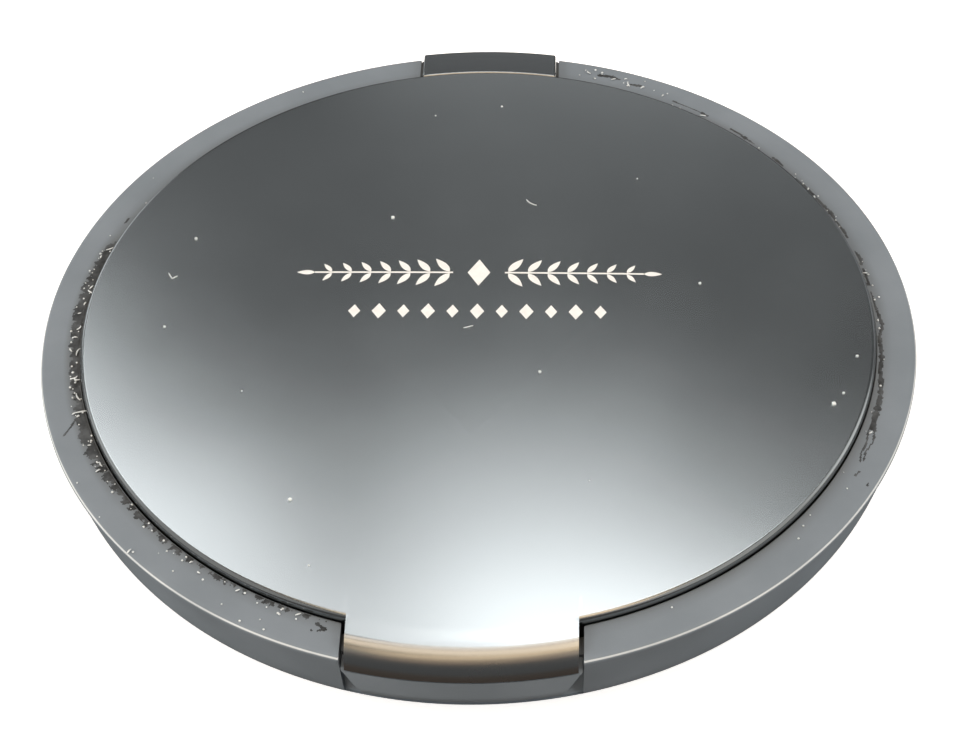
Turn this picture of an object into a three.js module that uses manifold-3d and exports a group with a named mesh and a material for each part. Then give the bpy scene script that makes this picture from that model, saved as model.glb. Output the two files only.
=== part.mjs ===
// A round pressed-powder compact: a tapered base with a flat rim, an inset lid disc whose
// tongue laps over the rim at the front, and a hinge block in a slot of the rim at the back.
// Millimetres, +Z up. The origin is the centre of the foot, on the surface the case rests on.
// Front is -Y, the hinge is at +Y, and the lid is closed.
import * as THREE from 'three';
import { mergeVertices } from 'three/addons/utils/BufferGeometryUtils.js';
import { ConvexGeometry } from 'three/addons/geometries/ConvexGeometry.js';
import Module from 'manifold-3d';

const wasm = await Module();
wasm.setup();

// Driving dimensions
const OUTER_RADIUS = 38;        // rim's outer edge
const RIM_TOP = 9.6;            // height of the rim's flat top
const RIM_WIDTH = 3.5;
const WALL_DRAFT = 0.2235;      // the side wall comes in by this much for each mm down
const WALL_FOOT = 4.7;          // height at which the wall starts to curve under
const FOOT_RADIUS = 31.2;
const SHELL_FLOOR = 1.5;
const TRAY_LAND = 6.7;          // flat that the closed lid comes down on
const DISC_RADIUS = 34.3;
const DISC_EDGE_TOP = 10.35;
const DISC_CROWN = 0.4;
const PLATE_BOTTOM = 9;         // joint between the lid's outer plate and its body
const TONGUE_WIDTH = 18;
const TONGUE_RADIUS = 38.15;    // plan radius that the tongue's bend reaches
const TONGUE_BEND = 2.3;        // outside radius of the bend that forms the tongue
const TONGUE_BOTTOM = 8.35;
const FRONT_SLOT_WIDTH = 18.8;
const BLOCK_WIDTH = 12.8;
const BLOCK_TOP = 10.35;
const BLOCK_REAR_RADIUS = 37.8;
const REAR_SLOT_WIDTH = 13.1;
const REAR_SLOT_FLOOR = 5.3;
const HINGE_Y = 35.7;
const HINGE_Z = 8.5;
const PIN_RADIUS = 0.6;
const PIN_CLEARANCE = 0.05;
const PIN_LENGTH = 17.6;
const PAN_RADIUS = 28.5;
const PAN_BOTTOM = 2.9;
const PAN_HEIGHT = 3.6;
const PAN_SHEET = 0.5;
const MIRROR_RADIUS = 29;
const MIRROR_BOTTOM = 6.95;
const MIRROR_THICKNESS = 1.1;
const PAD_THICKNESS = 0.15;
const TURN_SEGMENTS = 72;
const PIN_SEGMENTS = 16;

// Sizes worked out from the driving dimensions
const RIM_INNER = OUTER_RADIUS - RIM_WIDTH;
const MIRROR_TOP = MIRROR_BOTTOM + MIRROR_THICKNESS;
const LID_POCKET_TOP = MIRROR_TOP + PAD_THICKNESS;
const LID_BODY_BOTTOM = TRAY_LAND + 0.1;
const LID_BODY_RADIUS = DISC_RADIUS - 0.4;
const FRONT_SLOT_FLOOR = TONGUE_BOTTOM - 0.15;
const HOLE_RADIUS = PIN_RADIUS + PIN_CLEARANCE;

// Helpers

function toSolid(geometry) {
  geometry.deleteAttribute('normal');
  geometry.deleteAttribute('uv');
  const merged = mergeVertices(geometry, 1e-4);
  const mesh = new wasm.Mesh({
    numProp: 3,
    vertProperties: new Float32Array(merged.attributes.position.array),
    triVerts: new Uint32Array(merged.index.array),
  });
  return new wasm.Manifold(mesh);
}

function toGeometry(solid) {
  const mesh = solid.getMesh();
  const geometry = new THREE.BufferGeometry();
  geometry.setAttribute('position', new THREE.BufferAttribute(mesh.vertProperties, 3));
  geometry.setIndex(new THREE.BufferAttribute(mesh.triVerts, 1));
  geometry.computeVertexNormals();
  return geometry;
}

// Turns an outline of [radius, height] points about the Z axis.
function turned(outline) {
  const points = outline.map(([radius, height]) => new THREE.Vector2(radius, height));
  const geometry = new THREE.LatheGeometry(points, TURN_SEGMENTS);
  return toSolid(geometry.rotateX(Math.PI / 2));
}

function box(xLow, xHigh, yLow, yHigh, zLow, zHigh) {
  const geometry = new THREE.BoxGeometry(xHigh - xLow, yHigh - yLow, zHigh - zLow);
  geometry.translate((xLow + xHigh) / 2, (yLow + yHigh) / 2, (zLow + zHigh) / 2);
  return toSolid(geometry);
}

// A round bar along X through the hinge axis.
function hingeBar(radius, xLow, xHigh) {
  const geometry = new THREE.CylinderGeometry(radius, radius, xHigh - xLow, PIN_SEGMENTS);
  geometry.rotateZ(Math.PI / 2);
  geometry.translate((xLow + xHigh) / 2, HINGE_Y, HINGE_Z);
  return toSolid(geometry);
}

// Points of an arc in the [radius, height] plane, angles in degrees.
function arc(centreR, centreZ, radius, from, to, steps) {
  return Array.from({ length: steps + 1 }, (_, i) => {
    const angle = THREE.MathUtils.degToRad(from + ((to - from) * i) / steps);
    return [centreR + radius * Math.cos(angle), centreZ + radius * Math.sin(angle)];
  });
}

function curve(start, control, end, steps) {
  const bend = new THREE.QuadraticBezierCurve(
    new THREE.Vector2(...start), new THREE.Vector2(...control), new THREE.Vector2(...end));
  return bend.getPoints(steps).map((point) => [point.x, point.y]);
}

function wallRadius(height) {
  return OUTER_RADIUS - (RIM_TOP - height) * WALL_DRAFT;
}

// Base

// The thumb ledge under the tongue: an upright face with mitred ends, bevelled back below.
function thumbLedge() {
  const top = { height: FRONT_SLOT_FLOOR, halfWidth: 9.3, radius: OUTER_RADIUS };
  const edge = { height: 6.45, halfWidth: 8, radius: OUTER_RADIUS };
  const bottom = { height: 4.2, halfWidth: 7.2, radius: wallRadius(4.6) - 0.1 };
  const points = [];
  const steps = 8;
  for (const row of [top, edge, bottom]) {
    for (let i = 0; i <= steps; i += 1) {
      const x = row.halfWidth * ((2 * i) / steps - 1);
      points.push(new THREE.Vector3(x, -Math.sqrt(row.radius ** 2 - x ** 2), row.height));
    }
  }
  const backHalfWidth = FRONT_SLOT_WIDTH / 2 + 0.2;
  for (const side of [-1, 1]) {
    for (const height of [top.height, bottom.height]) {
      points.push(new THREE.Vector3(side * backHalfWidth, -34.8, height));
      points.push(new THREE.Vector3(side * backHalfWidth, -35.2, height));
    }
  }
  return toSolid(new ConvexGeometry(points));
}

function baseShell() {
  const fillet = 0.35;
  const outline = [
    [0, 0.5],
    [26, 0.5],
    [26.4, 0],
    ...curve([FOOT_RADIUS, 0], [36.33, 2.2], [wallRadius(WALL_FOOT), WALL_FOOT], 8),
    ...arc(OUTER_RADIUS - fillet, RIM_TOP - fillet, fillet, -12, 90, 4),
    [RIM_INNER + 0.2, RIM_TOP],
    [RIM_INNER, RIM_TOP - 0.2],
    [RIM_INNER, 5.2],
    [33.4, 5.2],
    [33.4, 4],
    [31.2, SHELL_FLOOR],
    [0, SHELL_FLOOR],
  ];
  const frontHalf = FRONT_SLOT_WIDTH / 2;
  const rearHalf = REAR_SLOT_WIDTH / 2;
  const recessRing = turned([
    [36.2, 3.4], [41, 3.4], [41, 12], [36.2, 12], [36.2, 3.4],
  ]);
  const frontRecess = recessRing.intersect(box(-frontHalf, frontHalf, -42, -30, 3, 13));
  const frontSlot = box(-frontHalf, frontHalf, -42, -33, FRONT_SLOT_FLOOR, 13);
  const rearSlot = box(-rearHalf, rearHalf, 32, 42, REAR_SLOT_FLOOR, 13);
  const catchPocket = box(-3.3, 3.3, -36.3, -34.9, 7.2, 9);
  const pinHole = hingeBar(HOLE_RADIUS, -13, PIN_LENGTH / 2 + 0.1);
  return turned(outline)
    .subtract(frontRecess)
    .add(thumbLedge().subtract(frontSlot))
    .subtract(frontSlot)
    .subtract(catchPocket)
    .subtract(rearSlot)
    .subtract(pinHole);
}

function baseTray() {
  const wellRadius = PAN_RADIUS + 0.4;
  return turned([
    [3, 1.7],
    [30.4, 1.7],
    [30.4, 5.2],
    [34.2, 5.2],
    [34.2, TRAY_LAND - 0.2],
    [34, TRAY_LAND],
    [wellRadius + 0.2, TRAY_LAND],
    [wellRadius, TRAY_LAND - 0.2],
    [wellRadius, PAN_BOTTOM - 0.2],
    [3, PAN_BOTTOM - 0.2],
    [3, 1.7],
  ]);
}

function panAdhesive() {
  return turned([
    [0, PAN_BOTTOM - 0.2], [24, PAN_BOTTOM - 0.2], [24, PAN_BOTTOM], [0, PAN_BOTTOM],
  ]);
}

function powderPan() {
  const rim = PAN_BOTTOM + PAN_HEIGHT;
  const floor = PAN_BOTTOM + PAN_SHEET;
  return turned([
    [0, PAN_BOTTOM],
    [PAN_RADIUS - 0.3, PAN_BOTTOM],
    [PAN_RADIUS, PAN_BOTTOM + 0.3],
    [PAN_RADIUS, rim],
    [PAN_RADIUS - PAN_SHEET, rim],
    [PAN_RADIUS - PAN_SHEET, floor],
    [0, floor],
  ]);
}

function powderCake() {
  const floor = PAN_BOTTOM + PAN_SHEET;
  const edge = PAN_RADIUS - PAN_SHEET - 0.05;
  return turned([
    [0, floor],
    [edge, floor],
    [edge, 5.9],
    [edge - 0.6, 6.1],
    [edge - 8, 6.2],
    [0, 6.25],
  ]);
}

function baseLabel() {
  return turned([[0, 0.35], [24.5, 0.35], [24.5, 0.5], [0, 0.5]]);
}

function hingePin() {
  return hingeBar(PIN_RADIUS, -PIN_LENGTH / 2, PIN_LENGTH / 2);
}

// Lid

// The knuckle's side view, [y, z] from the hinge axis: upright at the front and back,
// chamfered at the top and round below, with a neck that reaches forward into the lid body.
function hingeBlock() {
  const top = BLOCK_TOP - HINGE_Z;
  const front = DISC_RADIUS + 0.1 - HINGE_Y;
  const rear = BLOCK_REAR_RADIUS - HINGE_Y;
  const neckTop = PLATE_BOTTOM - HINGE_Z;
  const neckBottom = LID_BODY_BOTTOM - HINGE_Z;
  const neckFront = -4.5;
  const outline = [
    [neckFront, neckBottom],
    ...arc(0, 0, -neckBottom + 0.1, -90, 0, 8),
    [rear, top - 0.3],
    [rear - 0.3, top],
    [front + 0.3, top],
    [front, top - 0.3],
    [front, neckTop],
    [neckFront, neckTop],
  ];
  const shape = new THREE.Shape(outline.map(([y, z]) => new THREE.Vector2(y, z)));
  const geometry = new THREE.ExtrudeGeometry(shape, { depth: BLOCK_WIDTH, bevelEnabled: false });
  const toRowFrame = new THREE.Matrix4().makeBasis(
    new THREE.Vector3(0, 1, 0), new THREE.Vector3(0, 0, 1), new THREE.Vector3(1, 0, 0));
  geometry.applyMatrix4(toRowFrame);
  geometry.translate(-BLOCK_WIDTH / 2, HINGE_Y, HINGE_Z);
  const rounding = turned([[0, 0], [BLOCK_REAR_RADIUS, 0], [BLOCK_REAR_RADIUS, 20], [0, 20]]);
  const corner = BLOCK_WIDTH / 2;
  const endProfile = new THREE.Shape([
    new THREE.Vector2(-corner, 0),
    new THREE.Vector2(corner, 0),
    new THREE.Vector2(corner, BLOCK_TOP - 0.5),
    new THREE.Vector2(corner - 0.4, BLOCK_TOP + 0.1),
    new THREE.Vector2(0.4 - corner, BLOCK_TOP + 0.1),
    new THREE.Vector2(-corner, BLOCK_TOP - 0.5),
  ]);
  const ends = new THREE.ExtrudeGeometry(endProfile, { depth: 15, bevelEnabled: false });
  ends.rotateX(Math.PI / 2);
  ends.translate(0, 40, 0);
  return toSolid(geometry).intersect(rounding).intersect(toSolid(ends));
}

function lidBody() {
  const disc = turned([
    [0, LID_POCKET_TOP],
    [MIRROR_RADIUS + 0.2, LID_POCKET_TOP],
    [MIRROR_RADIUS + 0.2, LID_BODY_BOTTOM],
    [LID_BODY_RADIUS - 0.3, LID_BODY_BOTTOM],
    [LID_BODY_RADIUS, LID_BODY_BOTTOM + 0.3],
    [LID_BODY_RADIUS, PLATE_BOTTOM],
    [0, PLATE_BOTTOM],
  ]);
  const catchBar = box(-8, 8, -35.6, -32, FRONT_SLOT_FLOOR + 0.25, PLATE_BOTTOM);
  const catchNib = box(-3, 3, -36, -35.2, 7.4, PLATE_BOTTOM);
  const pinHole = hingeBar(HOLE_RADIUS, -BLOCK_WIDTH, BLOCK_WIDTH);
  return disc.add(catchBar).add(catchNib).add(hingeBlock()).subtract(pinHole);
}

function lidPlate() {
  const fillet = 0.5;
  const crown = curve(
    [DISC_RADIUS - fillet, DISC_EDGE_TOP],
    [DISC_RADIUS / 2, DISC_EDGE_TOP + DISC_CROWN],
    [0, DISC_EDGE_TOP + DISC_CROWN], 6);
  const disc = turned([
    [0, PLATE_BOTTOM],
    [DISC_RADIUS - 0.35, PLATE_BOTTOM],
    ...arc(DISC_RADIUS - fillet, DISC_EDGE_TOP - fillet, fillet, 0, 90, 4).slice(0, -1),
    ...crown,
  ]);
  const sheet = 1;
  const bendR = TONGUE_RADIUS - TONGUE_BEND;
  const bendZ = DISC_EDGE_TOP - 0.05 - TONGUE_BEND;
  const inner = TONGUE_BEND - sheet;
  const angleAt = (radius, height) => THREE.MathUtils.radToDeg(Math.asin((height - bendZ) / radius));
  const tongueRing = turned([
    [DISC_RADIUS - 3, PLATE_BOTTOM + 0.4],
    ...arc(bendR, bendZ, inner, 90, angleAt(inner, TONGUE_BOTTOM), 6),
    [TONGUE_RADIUS - 0.2, TONGUE_BOTTOM],
    ...arc(bendR, bendZ, TONGUE_BEND, angleAt(TONGUE_BEND, TONGUE_BOTTOM + 0.15), 90, 8),
    [DISC_RADIUS - 3, DISC_EDGE_TOP - 0.05],
    [DISC_RADIUS - 3, PLATE_BOTTOM + 0.4],
  ]);
  const half = TONGUE_WIDTH / 2;
  return disc.add(tongueRing.intersect(box(-half, half, -42, -28, 5, 13)));
}

function mirror() {
  return turned([
    [0, MIRROR_BOTTOM],
    [MIRROR_RADIUS - 0.3, MIRROR_BOTTOM],
    [MIRROR_RADIUS, MIRROR_BOTTOM + 0.3],
    [MIRROR_RADIUS, MIRROR_TOP],
    [0, MIRROR_TOP],
  ]);
}

function mirrorAdhesive() {
  return turned([[0, MIRROR_TOP], [26, MIRROR_TOP], [26, LID_POCKET_TOP], [0, LID_POCKET_TOP]]);
}

// Assembly

const finishes = {
  softTouchGrey: { color: 0x8a8d8d, roughness: 0.8, metalness: 0 },
  gunmetal: { color: 0x8f9294, roughness: 0.3, metalness: 0.9 },
  darkGloss: { color: 0x4b4c4e, roughness: 0.25, metalness: 0 },
  aluminium: { color: 0xb9bbbd, roughness: 0.35, metalness: 1 },
  steel: { color: 0x9a9c9e, roughness: 0.3, metalness: 1 },
  powder: { color: 0xe3b9a0, roughness: 0.6, metalness: 0.1 },
  silvering: { color: 0xdfe3e5, roughness: 0.03, metalness: 1 },
  tape: { color: 0xd9d6cf, roughness: 0.7, metalness: 0 },
  paper: { color: 0xe8e6e1, roughness: 0.8, metalness: 0 },
};

const compact = new THREE.Group();

function place(name, solid, finish) {
  const mesh = new THREE.Mesh(toGeometry(solid), new THREE.MeshStandardMaterial(finishes[finish]));
  mesh.name = name;
  compact.add(mesh);
}

place('base_shell', baseShell(), 'softTouchGrey');
place('base_tray', baseTray(), 'darkGloss');
place('pan_adhesive', panAdhesive(), 'tape');
place('powder_pan', powderPan(), 'aluminium');
place('powder_cake', powderCake(), 'powder');
place('base_label', baseLabel(), 'paper');
place('hinge_pin', hingePin(), 'steel');
place('lid_body', lidBody(), 'darkGloss');
place('lid_plate', lidPlate(), 'gunmetal');
place('mirror', mirror(), 'silvering');
place('mirror_adhesive', mirrorAdhesive(), 'tape');

export default compact;
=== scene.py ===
"""Looks of a round pressed-powder compact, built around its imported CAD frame.

Lengths in the shape code are millimetres in the row frame (+Z up, front at -Y, hinge at +Y),
and MM turns them into Blender's metres when a mesh is made. Azimuths are degrees from the
front, growing towards +X.
"""
import math
import random

import bmesh
import bpy
from mathutils import Euler, Matrix, Vector, noise


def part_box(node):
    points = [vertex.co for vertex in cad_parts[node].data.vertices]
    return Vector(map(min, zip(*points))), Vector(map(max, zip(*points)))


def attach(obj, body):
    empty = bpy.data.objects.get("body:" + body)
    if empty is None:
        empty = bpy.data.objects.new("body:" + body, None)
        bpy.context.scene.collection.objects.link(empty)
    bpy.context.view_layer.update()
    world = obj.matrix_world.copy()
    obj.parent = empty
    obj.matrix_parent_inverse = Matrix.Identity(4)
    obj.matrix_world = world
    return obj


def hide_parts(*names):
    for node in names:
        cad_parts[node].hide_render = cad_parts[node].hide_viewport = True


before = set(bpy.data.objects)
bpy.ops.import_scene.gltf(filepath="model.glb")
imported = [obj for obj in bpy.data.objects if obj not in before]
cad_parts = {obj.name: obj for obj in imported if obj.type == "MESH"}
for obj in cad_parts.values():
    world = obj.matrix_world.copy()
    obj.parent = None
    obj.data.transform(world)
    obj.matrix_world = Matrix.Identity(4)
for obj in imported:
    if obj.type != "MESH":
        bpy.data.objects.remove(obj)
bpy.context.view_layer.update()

MM = 0.001


# ---- sizes from the frame

def low_mm(node, axis):
    return round(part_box(node)[0][axis] / MM, 2)


def high_mm(node, axis):
    return round(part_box(node)[1][axis] / MM, 2)


def turned_mm(node):
    """The radius, lowest height and highest height of a turned piece."""
    return high_mm(node, 0), low_mm(node, 2), high_mm(node, 2)


# The lid as it looks fills more of its gaps than the CAD lid, which keeps them free
DISC_GROWTH = 0.24
TONGUE_GROWTH = 0.05

RIM_R = round(high_mm("base_shell", 0), 1)
RIM_TOP = high_mm("base_shell", 2)
DISC_R = round(high_mm("lid_plate", 0), 1) + DISC_GROWTH
DISC_TOP = high_mm("lid_plate", 2)
TONGUE_R = -low_mm("lid_plate", 1) + TONGUE_GROWTH
TONGUE_LOW = low_mm("lid_plate", 2)
CARRIER_R = round(high_mm("lid_body", 0), 1)
BLOCK_TOP = high_mm("lid_body", 2)
BLOCK_REAR = high_mm("lid_body", 1)
MIRROR_R, MIRROR_LOW, MIRROR_TOP = turned_mm("mirror")
POCKET_TOP = high_mm("mirror_adhesive", 2)
PAN_R, PAN_LOW, PAN_TOP = turned_mm("powder_pan")
CAKE_R, CAKE_LOW, CAKE_TOP = turned_mm("powder_cake")
TRAY_R = round(high_mm("base_tray", 0), 1)
TRAY_TOP = high_mm("base_tray", 2)
TRAY_LOW = low_mm("base_tray", 2)
LABEL_R, LABEL_LOW, LABEL_HIGH = turned_mm("base_label")
PIN_R = (high_mm("hinge_pin", 2) - low_mm("hinge_pin", 2)) / 2
PIN_END = high_mm("hinge_pin", 0)
HINGE_Y = (high_mm("hinge_pin", 1) + low_mm("hinge_pin", 1)) / 2
HINGE_Z = (high_mm("hinge_pin", 2) + low_mm("hinge_pin", 2)) / 2

# Sizes of detail that the frame's boxes don't give
RIM_WIDTH = 3.4
RIM_INNER = RIM_R - RIM_WIDTH
WALL_DRAFT = 0.2235
WALL_FOOT = 4.7
FOOT_R = 31.2
SHELL_FLOOR = 1.5
FRONT_SLOT_HALF = 9.4
FRONT_SLOT_FLOOR = TONGUE_LOW - 0.15
REAR_SLOT_HALF = 6.78
REAR_SLOT_FLOOR = 5.3
RECESS_R = 36.2
RECESS_LOW = 3.4
PLATE_LOW = 9.0
EDGE_TOP = DISC_TOP - 0.4
EDGE_FILLET = 0.42
TONGUE_HALF = 9.0
TONGUE_BEND = 2.3
TONGUE_SHEET = 1.0
BLOCK_HALF = 6.46
BLOCK_FRONT = DISC_R - 0.3
CHEEK_TOP = RIM_TOP - 0.15


# ---- mesh helpers

def arc(centre_r, centre_z, radius, start, end, steps):
    """Points of an arc in the (radius, height) plane, angles in degrees."""
    angles = [math.radians(start + (end - start) * i / steps) for i in range(steps + 1)]
    return [(centre_r + radius * math.cos(a), centre_z + radius * math.sin(a)) for a in angles]


def curve(start, control, end, steps):
    """Points of a quadratic curve in the (radius, height) plane."""
    points = []
    for i in range(steps + 1):
        t = i / steps
        weights = ((1 - t) ** 2, 2 * t * (1 - t), t ** 2)
        points.append(tuple(
            sum(w * p[axis] for w, p in zip(weights, (start, control, end))) for axis in (0, 1)))
    return points


def line(start, end, steps):
    """Evenly spaced points from start to end, both included."""
    return [tuple(a + (b - a) * i / steps for a, b in zip(start, end)) for i in range(steps + 1)]


def around(angle, radius, height):
    """A point at an azimuth in radians from the front."""
    return Vector((radius * math.sin(angle), -radius * math.cos(angle), height))


def finish_mesh(name, bm, sharp=30):
    """Turns a bmesh in millimetres into a smooth-shaded object in metres."""
    bmesh.ops.recalc_face_normals(bm, faces=bm.faces)
    bmesh.ops.scale(bm, vec=Vector((MM, MM, MM)), verts=bm.verts)
    mesh = bpy.data.meshes.new(name)
    bm.to_mesh(mesh)
    bm.free()
    mesh.shade_smooth()
    mesh.set_sharp_from_angle(angle=math.radians(sharp))
    piece = bpy.data.objects.new(name, mesh)
    bpy.context.scene.collection.objects.link(piece)
    weighted = piece.modifiers.new("weighted normals", "WEIGHTED_NORMAL")
    weighted.keep_sharp = True
    return piece


def turn(bm, profile, columns=256, lift=None):
    """Adds a closed body turned from a profile that starts and ends on the axis or closes."""
    closed = profile[0] == profile[-1]
    points = profile[:-1] if closed else profile
    rings = []
    for radius, height in points:
        if radius < 1e-6:
            rings.append([bm.verts.new((0, 0, height))] * columns)
            continue
        ring = []
        for i in range(columns):
            angle = 2 * math.pi * i / columns
            z = height + lift(angle, radius, height) if lift else height
            ring.append(bm.verts.new(around(angle, radius, z)))
        rings.append(ring)
    if closed:
        rings.append(rings[0])
    for first, second in zip(rings, rings[1:]):
        for i in range(columns):
            j = (i + 1) % columns
            corners = list(dict.fromkeys((first[i], first[j], second[j], second[i])))
            if len(corners) > 2:
                bm.faces.new(corners)


def turned_piece(name, profile, columns=256, lift=None, sharp=30):
    bm = bmesh.new()
    turn(bm, profile, columns, lift)
    return finish_mesh(name, bm, sharp)


def loft(bm, loops):
    """Joins matching loops of vertices into a closed body. Its end faces come last in the result."""
    faces = []
    count = len(loops[0])
    for near, far in zip(loops, loops[1:]):
        for i in range(count):
            j = (i + 1) % count
            faces.append(bm.faces.new((near[i], near[j], far[j], far[i])))
    faces += [bm.faces.new(loops[0]), bm.faces.new(loops[-1])]
    return faces


def edges_of(faces):
    return list({edge for face in faces for edge in face.edges})


def bevel(bm, edges, width, segments, clamp=False):
    bmesh.ops.bevel(bm, geom=edges, offset=width, segments=segments, profile=0.5,
                    affect="EDGES", clamp_overlap=clamp)


class Sectors:
    """A body turned from several profiles, one for each span of columns round the axis.

    Inside turn_in a column is a radial line. Further out the columns run parallel to the walls
    of the slots, so that the slots' flat walls lie on mesh lines.
    """

    def __init__(self, turn_in):
        self.bm = bmesh.new()
        self.turn_in = turn_in
        self.columns = []
        self.spans = []
        self.cache = {}

    def angle_at(self, half_width, radius):
        return math.asin(half_width / max(radius, self.turn_in))

    def add_slot(self, half_width, steps, kind, rear=False):
        """Columns across a slot, from its left wall to its right wall seen from outside."""
        for i in range(steps):
            self.columns.append(self._slot_column(half_width * (2 * i / steps - 1), rear))
            self.spans.append(kind)

    def _slot_column(self, offset, rear):
        def angle(radius):
            turned_by = math.asin(offset / max(radius, self.turn_in))
            return math.pi + turned_by if rear else turned_by
        return angle

    def add_side(self, start_half, end_half, steps, kind, left=False):
        """Columns between the front slot's wall and the rear slot's wall, on one side."""
        for i in range(steps):
            share = i / steps

            def angle(radius, share=share):
                front = self.angle_at(start_half, radius)
                rear = math.pi - self.angle_at(end_half, radius)
                if left:
                    return 2 * math.pi - (rear + (front - rear) * share)
                return front + (rear - front) * share
            self.columns.append(angle)
            self.spans.append(kind)

    def vertex(self, column, radius, height):
        if radius < 1e-6:
            column = 0
        key = (column % len(self.columns), round(radius, 4), round(height, 4))
        if key not in self.cache:
            angle = self.columns[key[0]](radius)
            self.cache[key] = self.bm.verts.new(around(angle, radius, height))
        return self.cache[key]

    def skin(self, profiles):
        """Joins each pair of neighbouring columns along the profile of their span."""
        for i, kind in enumerate(self.spans):
            for near, far in zip(profiles[kind], profiles[kind][1:]):
                corners = [self.vertex(i, *near), self.vertex(i + 1, *near),
                           self.vertex(i + 1, *far), self.vertex(i, *far)]
                corners = list(dict.fromkeys(corners))
                if len(corners) > 2:
                    self.bm.faces.new(corners)

    def slot_wall(self, column, outer_path, inner_path):
        """Adds the flat wall between two profiles at one column and gives its outer edges."""
        loop = [self.vertex(column, *p) for p in outer_path]
        loop += [self.vertex(column, *p) for p in reversed(inner_path[1:-1])]
        self.bm.faces.new(loop)
        edges = []
        for near, far in zip(outer_path, outer_path[1:]):
            edges.append(self.bm.edges.get((self.vertex(column, *near), self.vertex(column, *far))))
        return edges


# ---- materials

class Nodes:
    """A short way to write a procedural material's node tree."""

    def __init__(self, name):
        self.material = bpy.data.materials.new(name)
        self.material.use_nodes = True
        self.tree = self.material.node_tree
        self.shader = self.tree.nodes["Principled BSDF"]
        self.place = self.tree.nodes.new("ShaderNodeTexCoord").outputs["Object"]

    def set(self, **values):
        for name, value in values.items():
            self.shader.inputs[name.replace("_", " ")].default_value = value
        return self

    def link(self, source, target):
        self.tree.links.new(source, target)

    def noise(self, scale, detail, vector=None):
        node = self.tree.nodes.new("ShaderNodeTexNoise")
        node.inputs["Scale"].default_value = scale
        node.inputs["Detail"].default_value = detail
        node.inputs["Roughness"].default_value = 0.55
        self.link(vector or self.place, node.inputs["Vector"])
        return node.outputs["Fac"]

    def cells(self, scale):
        node = self.tree.nodes.new("ShaderNodeTexVoronoi")
        node.inputs["Scale"].default_value = scale
        self.link(self.place, node.inputs["Vector"])
        return node.outputs["Distance"]

    def stretch(self, x, y, z):
        node = self.tree.nodes.new("ShaderNodeMapping")
        node.inputs["Scale"].default_value = (x, y, z)
        self.link(self.place, node.inputs["Vector"])
        return node.outputs["Vector"]

    def along(self, axis):
        """The position along one of the object's axes, in metres."""
        node = self.tree.nodes.new("ShaderNodeSeparateXYZ")
        self.link(self.place, node.inputs["Vector"])
        return node.outputs[axis]

    def from_axis(self):
        """The distance from the object's upright axis, in metres."""
        node = self.tree.nodes.new("ShaderNodeVectorMath")
        node.operation = "LENGTH"
        self.link(self.stretch(1, 1, 0), node.inputs[0])
        return node.outputs["Value"]

    def range(self, value, low, high, to_low=0.0, to_high=1.0):
        """The value rescaled from low..high to to_low..to_high, and held beyond them."""
        node = self.tree.nodes.new("ShaderNodeMapRange")
        limits = {"From Min": low, "From Max": high, "To Min": to_low, "To Max": to_high}
        for name, number in limits.items():
            node.inputs[name].default_value = number
        self.link(value, node.inputs["Value"])
        return node.outputs["Result"]

    def math(self, operation, first, second):
        node = self.tree.nodes.new("ShaderNodeMath")
        node.operation = operation
        for socket, value in zip(node.inputs, (first, second)):
            if isinstance(value, (int, float)):
                socket.default_value = value
            else:
                self.link(value, socket)
        return node.outputs["Value"]

    def times(self, product, *factors):
        for factor in factors:
            product = self.math("MULTIPLY", product, factor)
        return product

    def mix(self, share, first, second):
        node = self.tree.nodes.new("ShaderNodeMix")
        node.data_type = "RGBA"
        sockets = (node.inputs[0], node.inputs[6], node.inputs[7])
        for socket, value in zip(sockets, (share, first, second)):
            if isinstance(value, (int, float)):
                socket.default_value = value
            elif isinstance(value, tuple):
                socket.default_value = (*value, 1)
            else:
                self.link(value, socket)
        return node.outputs[2]

    def bump(self, height, strength, distance, normal=None):
        node = self.tree.nodes.new("ShaderNodeBump")
        node.inputs["Strength"].default_value = strength
        node.inputs["Distance"].default_value = distance
        self.link(height, node.inputs["Height"])
        if normal:
            self.link(normal, node.inputs["Normal"])
        return node.outputs["Normal"]

    def to(self, **sockets):
        for name, value in sockets.items():
            self.link(value, self.shader.inputs[name.replace("_", " ")])


def left_grime_and_shade(m, from_axis):
    """Where the rim is darkened, partly as grime and partly as painted shade: on the rim's left, beside the
    lid, from the front to a little past the middle.
    """
    left = m.range(m.along(0), -31 * MM, -28.5 * MM, 1, 0)
    forward = m.range(m.along(1), 9 * MM, 11.5 * MM, 1, 0)
    inner = m.range(from_axis, 35.2 * MM, 36.1 * MM, 1, 0)
    return m.times(left, forward, inner)


def painted_edge_highlight(m, from_axis, patches):
    """Where a highlight is painted: a narrow pale line on the rim's rounded outer edge."""
    height = m.along(2)
    above = m.range(height, (RIM_TOP - 0.2) * MM, (RIM_TOP - 0.16) * MM)
    below = m.range(height, (RIM_TOP - 0.05) * MM, (RIM_TOP - 0.08) * MM)
    outer = m.range(from_axis, (RIM_R - 0.5) * MM, (RIM_R - 0.4) * MM)
    return m.times(above, below, outer, m.range(patches, 0.25, 0.6, 0.6, 1.0))


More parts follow.
